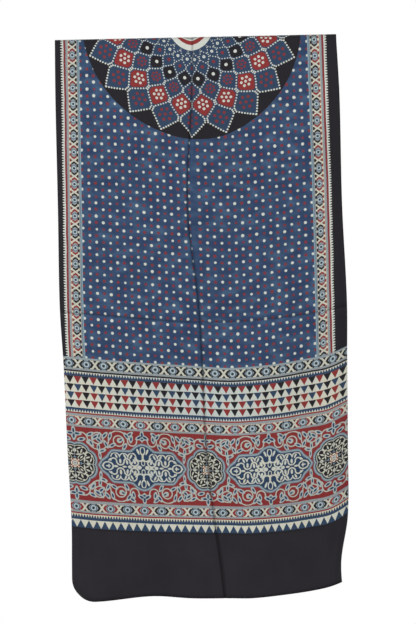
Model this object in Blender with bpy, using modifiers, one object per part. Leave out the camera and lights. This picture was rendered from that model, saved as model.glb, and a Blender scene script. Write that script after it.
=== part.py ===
"""An ajrakh stole: one length of block-printed silk, hung by its middle over a bar.

The cloth is one closed sheet. It runs down the front, over the bar and down the back, and it
keeps the uneven outline, the lengthwise and crosswise storage creases, the curled edges and the
wavy hem that it hangs in. The bar isn't part of it.

Metres, +Z up. X runs across the cloth and the printed front faces -Y. The origin is the middle
of the underside of the top fold, where the cloth bears on the bar.
"""

import math
from collections import namedtuple

import bmesh
import bpy

# The cut length of the cloth, as it would lie flat, and the sheet's thickness
CLOTH_LENGTH = 2.200
SHEET = 0.0012

# The bar that the top fold is shaped around
BAR_RADIUS = 0.0125
FOLD_RADIUS = BAR_RADIUS + SHEET / 2
QUARTER_FOLD = FOLD_RADIUS * math.pi / 2

# How far each half hangs below the top of the bar: the front as seen, the back what is left
FRONT_DROP = 1.0995
BACK_DROP = CLOTH_LENGTH - FRONT_DROP - 2 * (QUARTER_FOLD - BAR_RADIUS)

# The front's outline and its lengthwise crease, from the bar down to the hem
Level = namedtuple("Level", "down left right crease")
LEVELS = (
    Level(down=0.00, left=-0.2745, right=0.2750, crease=-0.0045),
    Level(down=0.12, left=-0.2758, right=0.2790, crease=-0.0085),
    Level(down=0.33, left=-0.2756, right=0.2797, crease=-0.0210),
    Level(down=0.52, left=-0.2762, right=0.2856, crease=-0.0035),
    Level(down=0.64, left=-0.2710, right=0.2836, crease=0.0012),
    Level(down=0.80, left=-0.2670, right=0.2816, crease=0.0055),
    Level(down=0.94, left=-0.2622, right=0.2789, crease=0.0180),
    Level(down=1.03, left=-0.2632, right=0.2640, crease=0.0295),
    Level(down=FRONT_DROP, left=-0.2640, right=0.2662, crease=0.0360),
)

# How far the hem and the crosswise crease rise above their lowest line, from side to side
Rise = namedtuple("Rise", "across hem crease")
RISES = (
    Rise(across=-0.280, hem=0.000, crease=0.026),
    Rise(across=-0.205, hem=0.001, crease=0.019),
    Rise(across=-0.107, hem=0.009, crease=0.008),
    Rise(across=-0.030, hem=0.003, crease=0.001),
    Rise(across=0.088, hem=0.001, crease=0.001),
    Rise(across=0.147, hem=0.006, crease=0.005),
    Rise(across=0.206, hem=0.013, crease=0.012),
    Rise(across=0.245, hem=0.021, crease=0.018),
    Rise(across=0.290, hem=0.038, crease=0.027),
)
CROSS_CREASE_DOWN = 0.557

# The back hangs behind the front and keeps its shape, with its selvedges drawn in a little
BACK_INSET = 0.0030

# Depths and widths of the creases and curls, all pushed back from the printed face.
# A crease has all but flattened out at one width from its middle: the sharpness sets how far
CREASE_SHARPNESS = 1.6
CREASE_DEPTH = 0.0042
CREASE_WIDTH = 0.0060
CREASE_STARTS = 0.03
CREASE_FULL = 0.14
BACK_CREASE_SHARE = -0.5
CROSS_CREASE_DEPTH = 0.0022
CROSS_CREASE_WIDTH = 0.0070
EDGE_CURL = 0.0060
EDGE_CURL_WIDTH = 0.020
EDGE_TROUGH_DEPTH = 0.0040
EDGE_TROUGH_INSET = 0.022
EDGE_TROUGH_WIDTH = 0.009
EDGE_TROUGH_DOWN = 1.00
EDGE_TROUGH_LENGTH = 0.07
HEM_LIFT_SHARE = 0.25
SHAPE_STARTS = 0.02
SHAPE_FULL = 0.60

# The broad waves: how deep each is, how many fit in a metre across, and how they slant
Wave = namedtuple("Wave", "depth per_metre slant start")
WAVES = (
    Wave(depth=0.0030, per_metre=3.3, slant=1.4, start=0.6),
    Wave(depth=0.0010, per_metre=7.5, slant=-2.3, start=0.0),
)

# The lower left corner, which curls back and so shows as a round
CORNER_RADIUS = 0.046
CORNER_BACK_SHARE = 0.7

# Where the columns and rows of the surface lie
NEAR_CREASE = (0.0045, 0.012)
NEAR_EDGE = (0.006, 0.012, 0.020, 0.032)
EVEN_COLUMNS = 6
FOLD_ROWS = 8
ROW_PITCH = 0.040
ROW_CLEARANCE = ROW_PITCH / 3
NEAR_CROSS_CREASE = (-0.010, -0.004, 0.0, 0.004, 0.010)
NEAR_HEM = (0.048, 0.036, 0.024, 0.012, 0.0)

INDIGO = (0.035, 0.068, 0.165, 1.0)
ROUGHNESS = 0.72


def ease(value, start, full):
    """0 before start, 1 after full, and smooth between them."""
    share = min(1.0, max(0.0, (value - start) / (full - start)))
    return share * share * (3 - 2 * share)


def bump(distance, width):
    """1 at the middle of a crease, and nearly 0 at one width from it."""
    return math.exp(-((distance * CREASE_SHARPNESS / width) ** 2))


def reading(rows, place, column):
    """A column of a table at a place between its rows, on a smooth curve through them."""
    keys = [row[0] for row in rows]
    values = [getattr(row, column) for row in rows]
    if place <= keys[0]:
        return values[0]
    if place >= keys[-1]:
        return values[-1]
    i = next(n for n in range(1, len(keys)) if place <= keys[n]) - 1

    def slope(n):
        low, high = max(n - 1, 0), min(n + 1, len(keys) - 1)
        return (values[high] - values[low]) / (keys[high] - keys[low])

    step = keys[i + 1] - keys[i]
    t = (place - keys[i]) / step
    return (
        values[i] * (1 - t) ** 2 * (1 + 2 * t)
        + values[i + 1] * t**2 * (3 - 2 * t)
        + slope(i) * step * t * (1 - t) ** 2
        - slope(i + 1) * step * t**2 * (1 - t)
    )


def level_at(down, drop, inset=0.0):
    """Where a row starts, creases and ends, each read at the depth that the row has there."""

    def place(name):
        x = reading(LEVELS, down, name)
        return reading(LEVELS, down - rise_at(x, down, drop), name)

    return Level(down, place("left") + inset, place("right") - inset, place("crease"))


def columns_at(level):
    """The x of every column at one level: close together at both edges and at the crease."""

    def half(edge):
        inward = math.copysign(1, level.crease - edge)
        near_edge = [edge] + [edge + inward * inset for inset in NEAR_EDGE]
        near_crease = [level.crease - inward * inset for inset in reversed(NEAR_CREASE)]
        start, end = near_edge[-1], near_crease[0]
        step = (end - start) / (EVEN_COLUMNS + 1)
        even = [start + step * n for n in range(1, EVEN_COLUMNS + 1)]
        return near_edge + even + near_crease

    return [*half(level.left), level.crease, *reversed(half(level.right))]


def hanging_rows(drop):
    """How far below the bar's top each row of a half lies, before the hem's own rise."""
    close = [CROSS_CREASE_DOWN + offset for offset in NEAR_CROSS_CREASE]
    close += [drop - offset for offset in NEAR_HEM]
    count = round((drop - BAR_RADIUS) / ROW_PITCH)
    even = [BAR_RADIUS + (drop - BAR_RADIUS) * n / count for n in range(1, count)]
    clear = [down for down in even if min(abs(down - other) for other in close) > ROW_CLEARANCE]
    return sorted(clear + close)


def rise_at(x, down, drop):
    """How far a row rises at x: as the crosswise crease does, and lower down as the hem does."""
    crease, hem = reading(RISES, x, "crease"), reading(RISES, x, "hem")
    if down < CROSS_CREASE_DOWN:
        return crease * down / CROSS_CREASE_DOWN
    share = (down - CROSS_CREASE_DOWN) / (drop - CROSS_CREASE_DOWN)
    return crease + (hem - crease) * share


def hang_depth(x, down, level, drop):
    """How far the cloth is pushed back at a place by its broad waves and its curled edges."""
    inside = min(x - level.left, level.right - x)
    grown = ease(down, SHAPE_STARTS, SHAPE_FULL)
    waves = sum(
        wave.depth * math.sin(math.tau * wave.per_metre * x + wave.slant * down + wave.start)
        for wave in WAVES
    )
    curl = EDGE_CURL * (1 - ease(inside, 0, EDGE_CURL_WIDTH))
    trough = EDGE_TROUGH_DEPTH * bump(inside - EDGE_TROUGH_INSET, EDGE_TROUGH_WIDTH)
    trough *= bump(down - EDGE_TROUGH_DOWN, EDGE_TROUGH_LENGTH)
    hem_lift = HEM_LIFT_SHARE * rise_at(x, down, drop) * ease(down, CROSS_CREASE_DOWN, drop)
    return (waves + curl) * grown + trough + hem_lift


def crease_depth(x, down, level):
    """The two storage creases: one down the middle of the print, and one across the cloth."""
    lengthwise = CREASE_DEPTH * bump(x - level.crease, CREASE_WIDTH)
    crosswise = CROSS_CREASE_DEPTH * bump(down - CROSS_CREASE_DOWN, CROSS_CREASE_WIDTH)
    return lengthwise * ease(down, CREASE_STARTS, CREASE_FULL) + crosswise


def round_corner(x, y, down, level, lowest):
    """Draws the lower left corner into a quarter of a circle, and what is drawn in goes back."""
    middle_x, middle_down = level.left + CORNER_RADIUS, lowest - CORNER_RADIUS
    across, below = (middle_x - x) / CORNER_RADIUS, (down - middle_down) / CORNER_RADIUS
    if across <= 0 or below <= 0:
        return x, y, down
    drawn_x = middle_x - CORNER_RADIUS * across * math.sqrt(1 - below**2 / 2)
    drawn_down = middle_down + CORNER_RADIUS * below * math.sqrt(1 - across**2 / 2)
    drawn_in = math.hypot(drawn_x - x, drawn_down - down)
    return drawn_x, y + CORNER_BACK_SHARE * drawn_in, drawn_down


def hanging_row(down, drop, side, inset, crease_share):
    """A row of the front or of the back. side is -1 at the front and 1 at the back."""
    level = level_at(down, drop, inset)
    lowest = drop - rise_at(level.left, drop, drop)
    points = []
    for x in columns_at(level):
        y = side * FOLD_RADIUS + hang_depth(x, down, level, drop)
        y += crease_share * crease_depth(x, down, level)
        place = round_corner(x, y, down - rise_at(x, down, drop), level, lowest)
        points.append((place[0], place[1], -place[2]))
    return points


def front_row(down):
    return hanging_row(down, FRONT_DROP, -1, 0.0, 1.0)


def back_row(down):
    inset = BACK_INSET * ease(down, SHAPE_STARTS, SHAPE_FULL)
    return hanging_row(down, BACK_DROP, 1, inset, BACK_CREASE_SHARE)


def fold_row(turn):
    """A row over the bar. turn is the angle from straight up, towards the front."""
    y, z = -FOLD_RADIUS * math.sin(turn), FOLD_RADIUS * math.cos(turn) - BAR_RADIUS
    return [(x, y, z) for x in columns_at(level_at(0.0, FRONT_DROP))]


def all_rows():
    """Every row of points, from the back hem over the bar to the front hem."""
    turns = [math.pi * (n / FOLD_ROWS - 0.5) for n in range(FOLD_ROWS + 1)]
    rows = [back_row(down) for down in reversed(hanging_rows(BACK_DROP))]
    rows += [fold_row(turn) for turn in turns]
    return rows + [front_row(down) for down in hanging_rows(FRONT_DROP)]


def silk():
    material = bpy.data.materials.new("printed_silk")
    material.use_nodes = True
    shader = material.node_tree.nodes["Principled BSDF"]
    shader.inputs["Base Color"].default_value = INDIGO
    shader.inputs["Roughness"].default_value = ROUGHNESS
    shader.inputs["Metallic"].default_value = 0.0
    return material


def cloth(collection):
    """The whole stole: a grid laid on the rows of points, and then given its thickness."""
    rows = all_rows()
    column_count, row_count = len(rows[0]), len(rows)
    sheet = bmesh.new()
    bmesh.ops.create_grid(sheet, x_segments=column_count - 1, y_segments=row_count - 1, size=1)
    for vertex in sheet.verts:
        column = round((vertex.co.x + 1) / 2 * (column_count - 1))
        row = round((vertex.co.y + 1) / 2 * (row_count - 1))
        vertex.co = rows[row][column]
    mesh = bpy.data.meshes.new("cloth")
    sheet.to_mesh(mesh)
    sheet.free()
    mesh.shade_smooth()
    mesh.materials.append(silk())
    made = bpy.data.objects.new("cloth", mesh)
    collection.objects.link(made)
    thicken = made.modifiers.new("thickness", "SOLIDIFY")
    thicken.thickness = SHEET
    thicken.offset = 0
    return made


def main():
    for old in list(bpy.data.objects):
        bpy.data.objects.remove(old)
    collection = bpy.data.collections.new("ajrakh_stole")
    bpy.context.scene.collection.children.link(collection)
    cloth(collection)


main()
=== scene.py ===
"""The ajrakh stole as it hangs: a thin block-printed silk sheet over an unseen bar.

The sheet carries two UV maps in metres. "cloth" holds the place on the cloth: how far across it is
from the middle of the print, and how far along it from the middle of the medallion. "folds" holds
how far a place is from the two storage creases. Everything printed is worked out from "cloth".
"""

import math
from collections import namedtuple

import bpy
import numpy as np
from mathutils import Matrix, Vector


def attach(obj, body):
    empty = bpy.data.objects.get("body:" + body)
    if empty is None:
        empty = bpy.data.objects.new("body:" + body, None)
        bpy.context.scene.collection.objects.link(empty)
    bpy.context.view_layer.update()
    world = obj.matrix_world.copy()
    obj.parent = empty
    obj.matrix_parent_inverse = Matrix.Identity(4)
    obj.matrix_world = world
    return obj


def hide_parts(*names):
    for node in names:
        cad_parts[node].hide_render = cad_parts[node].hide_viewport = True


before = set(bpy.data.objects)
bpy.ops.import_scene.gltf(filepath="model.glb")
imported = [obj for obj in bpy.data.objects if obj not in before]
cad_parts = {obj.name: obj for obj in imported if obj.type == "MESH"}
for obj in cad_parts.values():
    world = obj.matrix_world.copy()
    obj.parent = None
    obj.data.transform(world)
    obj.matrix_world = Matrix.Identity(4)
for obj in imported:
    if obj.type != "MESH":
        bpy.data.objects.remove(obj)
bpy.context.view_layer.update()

MM = 0.001

# The cloth's cut size, and the bar that it hangs over, as the solid has them
CLOTH_LENGTH = 2.200
SOLID_SHEET = 0.0012
SILK = 0.0004
BAR_RADIUS = 0.0125
FOLD_RADIUS = BAR_RADIUS + SOLID_SHEET / 2
QUARTER_FOLD = FOLD_RADIUS * math.pi / 2
FRONT_DROP = 1.0995
BACK_DROP = CLOTH_LENGTH - FRONT_DROP - 2 * (QUARTER_FOLD - BAR_RADIUS)

# The outline, the lengthwise crease and the print's own middle line, from the bar to the hem.
# wide is how much wider or narrower the print hangs there, on its left and on its right
Level = namedtuple("Level", "down left right crease middle wide_left wide_right")
LEVELS = (
    Level(0.00, -0.2745, 0.2750, -0.0045, -0.0075, 0.986, 1.015),
    Level(0.12, -0.2758, 0.2794, -0.0085, -0.0065, 0.992, 1.017),
    Level(0.33, -0.2756, 0.2800, -0.0210, -0.0035, 1.009, 1.017),
    Level(0.52, -0.2762, 0.2856, -0.0035, -0.0025, 1.018, 1.016),
    Level(0.64, -0.2710, 0.2836, 0.0012, -0.0010, 1.016, 1.010),
    Level(0.80, -0.2670, 0.2816, 0.0055, 0.0040, 1.013, 0.985),
    Level(0.94, -0.2622, 0.2789, 0.0180, 0.0065, 1.003, 0.978),
    Level(1.03, -0.2632, 0.2640, 0.0295, 0.0090, 0.995, 0.960),
    Level(FRONT_DROP, -0.2640, 0.2662, 0.0360, 0.0100, 0.995, 0.960),
)

# How far the printed rows, the crosswise crease and the hem rise above their lowest place.
# The printed rows are given at the fold, at the top of the cross bands and at their foot
Rise = namedtuple("Rise", "across fold upper lower hem crease")
RISES = (
    Rise(-0.280, 0.0215, 0.0310, 0.0230, 0.0000, 0.0260),
    Rise(-0.205, 0.0190, 0.0225, 0.0142, 0.0010, 0.0190),
    Rise(-0.107, 0.0125, 0.0128, 0.0075, 0.0090, 0.0080),
    Rise(-0.030, 0.0042, 0.0065, 0.0040, 0.0030, 0.0010),
    Rise(0.045, 0.0000, 0.0000, 0.0010, 0.0018, 0.0000),
    Rise(0.088, 0.0022, 0.0008, 0.0000, 0.0010, 0.0010),
    Rise(0.147, 0.0058, 0.0060, 0.0030, 0.0060, 0.0050),
    Rise(0.206, 0.0082, 0.0150, 0.0098, 0.0130, 0.0120),
    Rise(0.245, 0.0100, 0.0220, 0.0170, 0.0210, 0.0180),
    Rise(0.290, 0.0120, 0.0410, 0.0420, 0.0380, 0.0270),
)
CROSS_CREASE_DOWN = 0.557

# How much further along the cloth a printed row is than it hangs down, on the front and the back.
# They differ because the medallion's middle lies a little behind the top edge
PRINT_LEAD = 0.0144
BACK_LEAD = 0.0018

# The print's zones, as places along the cloth from the medallion's middle
MEDALLION_END = 0.2250
STRIPS_START = 0.6620
BAND_START = 0.7925
BAND_END = 0.9365
PANEL_START = 0.9900

# The print's rise changes from the fold's to the cross bands' from here, and until this far past
# where the bands start
RISE_CHANGES = 0.10
RISE_CHANGED_PAST = 0.03

# The back half, the creases, the curled edges and the broad waves
BACK_INSET = 0.0030
CREASE_DEPTH = 0.0046
CREASE_WIDTH = 0.0050
CREASE_STARTS = 0.03
CREASE_FULL = 0.14
CREASE_TUCK = 0.0055
TUCK_SPREAD = 0.12
BACK_CREASE_SHARE = -0.5
CROSS_CREASE_DEPTH = 0.0022
CROSS_CREASE_WIDTH = 0.0060
CROSS_CREASE_ROWS = 0.010
EDGE_CURL = 0.0060
EDGE_CURL_WIDTH = 0.020
EDGE_TROUGH_DEPTH = 0.0040
EDGE_TROUGH_INSET = 0.022
EDGE_TROUGH_WIDTH = 0.009
EDGE_TROUGH_DOWN = 1.00
EDGE_TROUGH_LENGTH = 0.07
HEM_LIFT_SHARE = 0.25
SHAPE_STARTS = 0.02
SHAPE_FULL = 0.60
Wave = namedtuple("Wave", "depth per_metre slant start")
WAVES = (
    Wave(depth=0.0030, per_metre=3.3, slant=1.4, start=0.6),
    Wave(depth=0.0010, per_metre=7.5, slant=-2.3, start=0.0),
)
CORNER_RADIUS = 0.046
CORNER_BACK_SHARE = 0.7

# Columns and rows of the sheet's mesh. The rows are counted where they hang lowest. The columns'
# ends and the printed rows depend on their own answers, so they are worked out a few times over
EDGE_INSETS = (0.0, 0.002, 0.004, 0.007, 0.011, 0.016, 0.022, 0.030)
CREASE_INSETS = (0.015, 0.010, 0.007, 0.005, 0.0036, 0.0024, 0.0012)
EVEN_COLUMNS = 30
FOLD_ROWS = 16
LOWEST_AT = 0.045
HALF_WAY_DOWN = 0.5
COLUMN_TRIES = 3
PRINT_TRIES = 6

# Dyes and resist, as linear colours
INDIGO = (0.0200, 0.0430, 0.1060, 1)
WORN_INDIGO = (0.050, 0.100, 0.185, 1)
NAVY = (0.0180, 0.0420, 0.0920, 1)
DEEP_INDIGO = (0.014, 0.030, 0.070, 1)
PALE_BLUE = (0.210, 0.310, 0.370, 1)
STEEL_BLUE = (0.085, 0.145, 0.205, 1)
OUTLINE_BLUE = (0.150, 0.215, 0.270, 1)
PALE_DOT = (0.480, 0.540, 0.530, 1)
PALE_LEAF = (0.380, 0.440, 0.420, 1)
VINE = (0.430, 0.450, 0.395, 1)
GREY = (0.270, 0.300, 0.310, 1)
RESIST = (0.540, 0.540, 0.450, 1)
CREAM = (0.610, 0.575, 0.440, 1)
WHITE = (0.590, 0.615, 0.560, 1)
MADDER = (0.236, 0.028, 0.027, 1)
STRIP_BLUE = (0.0260, 0.0520, 0.1020, 1)
DULL_RED = (0.210, 0.030, 0.035, 1)
DEEP_MADDER = (0.200, 0.020, 0.022, 1)
IRON_BLACK = (0.0125, 0.0110, 0.0150, 1)
WORN_BLACK = (0.021, 0.019, 0.024, 1)

CLOTH_MAP = "cloth"
FOLD_MAP = "folds"


def ease(value, start, full):
    share = np.clip((value - start) / (full - start), 0, 1)
    return share * share * (3 - 2 * share)


def bump(distance, width):
    return np.exp(-((distance * 1.6 / width) ** 2))


def reading(rows, place, column):
    """A column of a table at places between its rows, on a smooth curve through them."""
    keys = np.array([row[0] for row in rows])
    values = np.array([getattr(row, column) for row in rows])
    place = np.clip(place, keys[0], keys[-1])
    i = np.clip(np.searchsorted(keys, place, side="right") - 1, 0, len(keys) - 2)
    low = np.maximum(np.arange(len(keys)) - 1, 0)
    high = np.minimum(np.arange(len(keys)) + 1, len(keys) - 1)
    slopes = (values[high] - values[low]) / (keys[high] - keys[low])
    step = keys[i + 1] - keys[i]
    t = (place - keys[i]) / step
    return (
        values[i] * (1 - t) ** 2 * (1 + 2 * t)
        + values[i + 1] * t**2 * (3 - 2 * t)
        + slopes[i] * step * t * (1 - t) ** 2
        - slopes[i + 1] * step * t**2 * (1 - t)
    )


def print_rise(x, along, side):
    """How far a printed row rises at x. On the back it falls at the fold, so the print is whole."""
    fold, upper, lower, hem = (reading(RISES, x, name) for name in ("fold", "upper", "lower", "hem"))
    fold = fold * side
    upper_place = STRIPS_START + RISE_CHANGED_PAST
    to_upper = ease(along, RISE_CHANGES, upper_place)
    to_lower = np.clip((along - upper_place) / (PANEL_START - upper_place), 0, 1)
    to_hem = np.clip((along - PANEL_START) / (FRONT_DROP - PANEL_START), 0, 1)
    rise = fold + (upper - fold) * to_upper
    rise = rise + (lower - upper) * to_lower
    return rise + (hem - lower) * to_hem


def lead(side):
    return PRINT_LEAD if side > 0 else BACK_LEAD


def printed_along(x, down, side):
    """Which printed row lies at a place, found by trying again from the last answer."""
    along = down + lead(side)
    for _ in range(PRINT_TRIES):
        along = down + lead(side) + print_rise(x, along, side)
    return along


def bar_line(x):
    return np.full_like(x, BAR_RADIUS)


def line_between(start, end, share):
    return lambda x: (1 - share) * start(x) + share * end(x)


def row_lines(side):
    """The lines that the mesh's rows follow, each the depth at x, with the rows up to the next."""
    drop = FRONT_DROP if side > 0 else BACK_DROP

    def printed(along):
        return lambda x: along - lead(side) - print_rise(x, along, side)

    def creased(offset):
        return lambda x: CROSS_CREASE_DOWN + offset - reading(RISES, x, "crease")

    return (
        (bar_line, 22),
        (printed(MEDALLION_END), 34),
        (creased(-CROSS_CREASE_ROWS), 7),
        (creased(CROSS_CREASE_ROWS), 7),
        (printed(STRIPS_START), 16),
        (printed(BAND_START), 16),
        (printed(BAND_END), 7),
        (printed(PANEL_START), 16),
        (lambda x: drop - reading(RISES, x, "hem"), 0),
    )


def columns_at(line, inset):
    """The x of every column of one row: close together at both edges and at the crease."""

    def place(name, shift):
        x = reading(LEVELS, HALF_WAY_DOWN, name)
        for _ in range(COLUMN_TRIES):
            x = reading(LEVELS, line(np.array([x]))[0], name)
        return x + shift

    left, right, crease = place("left", inset), place("right", -inset), place("crease", 0.0)

    def half(edge):
        inward = math.copysign(1, crease - edge)
        near_edge = [edge + inward * step for step in EDGE_INSETS]
        near_crease = [crease - inward * step for step in CREASE_INSETS]
        even = np.linspace(near_edge[-1], near_crease[0], EVEN_COLUMNS + 2)[1:-1]
        return [*near_edge, *even, *near_crease]

    return np.array([*half(left), crease, *reversed(half(right))]), left, right, crease


def hang_depth(x, down, left, right, hem_rise):
    """How far the cloth is pushed back by its broad waves, its curled edges and its hem's rise."""
    inside = np.minimum(x - left, right - x)
    grown = ease(down, SHAPE_STARTS, SHAPE_FULL)
    waves = sum(
        wave.depth * np.sin(math.tau * wave.per_metre * x + wave.slant * down + wave.start)
        for wave in WAVES
    )
    curl = EDGE_CURL * (1 - ease(inside, 0, EDGE_CURL_WIDTH))
    trough = EDGE_TROUGH_DEPTH * bump(inside - EDGE_TROUGH_INSET, EDGE_TROUGH_WIDTH)
    trough = trough * bump(down - EDGE_TROUGH_DOWN, EDGE_TROUGH_LENGTH)
    hem_lift = HEM_LIFT_SHARE * hem_rise * ease(down, CROSS_CREASE_DOWN, FRONT_DROP)
    return (waves + curl) * grown + trough + hem_lift


def round_corner(x, y, down, left, lowest):
    """Draws the lower left corner into a quarter of a circle, and what is drawn in goes back."""
    middle_x, middle_down = left + CORNER_RADIUS, lowest - CORNER_RADIUS
    across = np.clip((middle_x - x) / CORNER_RADIUS, 0, 1)
    below = np.clip((down - middle_down) / CORNER_RADIUS, 0, 1)
    in_corner = (across > 0) & (below > 0)
    drawn_x = np.where(in_corner, middle_x - CORNER_RADIUS * across * np.sqrt(1 - below**2 / 2), x)
    drawn = np.where(in_corner, middle_down + CORNER_RADIUS * below * np.sqrt(1 - across**2 / 2), down)
    return drawn_x, y + CORNER_BACK_SHARE * np.hypot(drawn_x - x, drawn - down), drawn


def printed_across(x, down, crease):
    """How far from the print's middle line a place lies. Some cloth is hidden in the crease."""
    middle = reading(LEVELS, down, "middle")
    left, right = reading(LEVELS, down, "wide_left"), reading(LEVELS, down, "wide_right")
    across = np.where(x < middle, (x - middle) / left, (x - middle) / right)
    past = x - crease
    tuck = CREASE_TUCK * ease(past, -CREASE_WIDTH / 2, CREASE_WIDTH / 2)
    return across + tuck * np.exp(-np.maximum(past, 0) / TUCK_SPREAD)


def hanging_rows(side):
    """Every row of one half: points, places on the cloth, distances from the creases, and zone."""
    lines = row_lines(side)
    drop = FRONT_DROP if side > 0 else BACK_DROP
    rows = []
    for zone, ((start, count), (end, _)) in enumerate(zip(lines, lines[1:])):
        last = zone == len(lines) - 2
        for n in range(count + (1 if last else 0)):
            rows.append((zone, line_between(start, end, n / count)))
    made = []
    for zone, line in rows:
        steady = float(line(np.array([LOWEST_AT]))[0])
        inset = 0.0 if side > 0 else float(BACK_INSET * ease(steady, SHAPE_STARTS, SHAPE_FULL))
        x, left, right, crease = columns_at(line, inset)
        down = line(x)
        rise = steady - down
        y = -side * FOLD_RADIUS + hang_depth(x, down, left, right, rise)
        off_crease, off_cross = x - crease, down - (CROSS_CREASE_DOWN - reading(RISES, x, "crease"))
        folded = CREASE_DEPTH * bump(off_crease, CREASE_WIDTH) * ease(down, CREASE_STARTS, CREASE_FULL)
        folded = folded + CROSS_CREASE_DEPTH * bump(off_cross, CROSS_CREASE_WIDTH)
        y = y + folded * (1.0 if side > 0 else BACK_CREASE_SHARE)
        across = printed_across(x, down, crease)
        along = printed_along(x, down, side)
        lowest = drop - float(reading(RISES, left, "hem"))
        x, y, down = round_corner(x, y, down, left, lowest)
        made.append((zone, np.stack([x, y, -down], 1), across, side * along, off_crease, off_cross))
    return made


def fold_rows():
    """The rows over the bar, from the back to the front, without the two that the halves have."""
    x, _, _, crease = columns_at(bar_line, 0.0)
    front = printed_along(x, BAR_RADIUS, 1)
    made = []
    for n in range(1, FOLD_ROWS):
        turn = math.pi * (n / FOLD_ROWS - 0.5)
        y, z = -FOLD_RADIUS * math.sin(turn), FOLD_RADIUS * math.cos(turn) - BAR_RADIUS
        points = np.stack([x, np.full_like(x, y), np.full_like(x, z)], 1)
        along = front - FOLD_RADIUS * (math.pi / 2 - turn)
        across = printed_across(x, 0.0, crease)
        made.append((0, points, across, along, x - crease, np.full_like(x, CROSS_CREASE_DOWN)))
    return made


# Which material each zone of rows has, from the fold down
ZONE_SLOTS = (0, 1, 1, 1, 2, 3, 4, 5)


def stole_mesh():
    back, fold, front = hanging_rows(-1), fold_rows(), hanging_rows(1)
    rows = back[::-1] + fold + front
    points = np.concatenate([row[1] for row in rows])
    width = len(rows[0][1])
    faces, slots = [], []
    for r in range(len(rows) - 1):
        zone = min(rows[r][0], rows[r + 1][0])
        for c in range(width - 1):
            a = r * width + c
            faces.append((a, a + width, a + width + 1, a + 1))
            slots.append(ZONE_SLOTS[zone])
    mesh = bpy.data.meshes.new("printed_silk")
    mesh.from_pydata(points.tolist(), [], faces)
    mesh.polygons.foreach_set("material_index", slots)
    corners = np.empty(len(mesh.loops), dtype=np.int32)
    mesh.loops.foreach_get("vertex_index", corners)
    for name, first, second in ((CLOTH_MAP, 2, 3), (FOLD_MAP, 4, 5)):
        places = np.stack([np.concatenate([row[k] for row in rows]) for k in (first, second)], 1)
        layer = mesh.uv_layers.new(name=name)
        layer.data.foreach_set("uv", places[corners].astype(np.float32).ravel())
    mesh.shade_smooth()
    return mesh


def maths_step(operation, swapped=False):
    """An operator that adds a Math node. swapped is for a number on the operator's left."""

    def step(value, *others):
        values = (*others, value) if swapped else (value, *others)
        return value.graph.maths(operation, *values)

    return step


class Value:
    """A shader socket that takes part in Python expressions, and adds a Math node for each."""

    def __init__(self, graph, socket):
        self.graph, self.socket = graph, socket

    def output(self, name):
        """Another output of the same node."""
        return Value(self.graph, self.socket.node.outputs[name])

    __add__ = __radd__ = maths_step("ADD")
    __sub__, __rsub__ = maths_step("SUBTRACT"), maths_step("SUBTRACT", swapped=True)
    __mul__ = __rmul__ = maths_step("MULTIPLY")
    __truediv__, __rtruediv__ = maths_step("DIVIDE"), maths_step("DIVIDE", swapped=True)
    __pow__ = maths_step("POWER")
    __abs__ = maths_step("ABSOLUTE")


def maths_node(operation):
    return lambda graph, *values: graph.maths(operation, *values)


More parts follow.
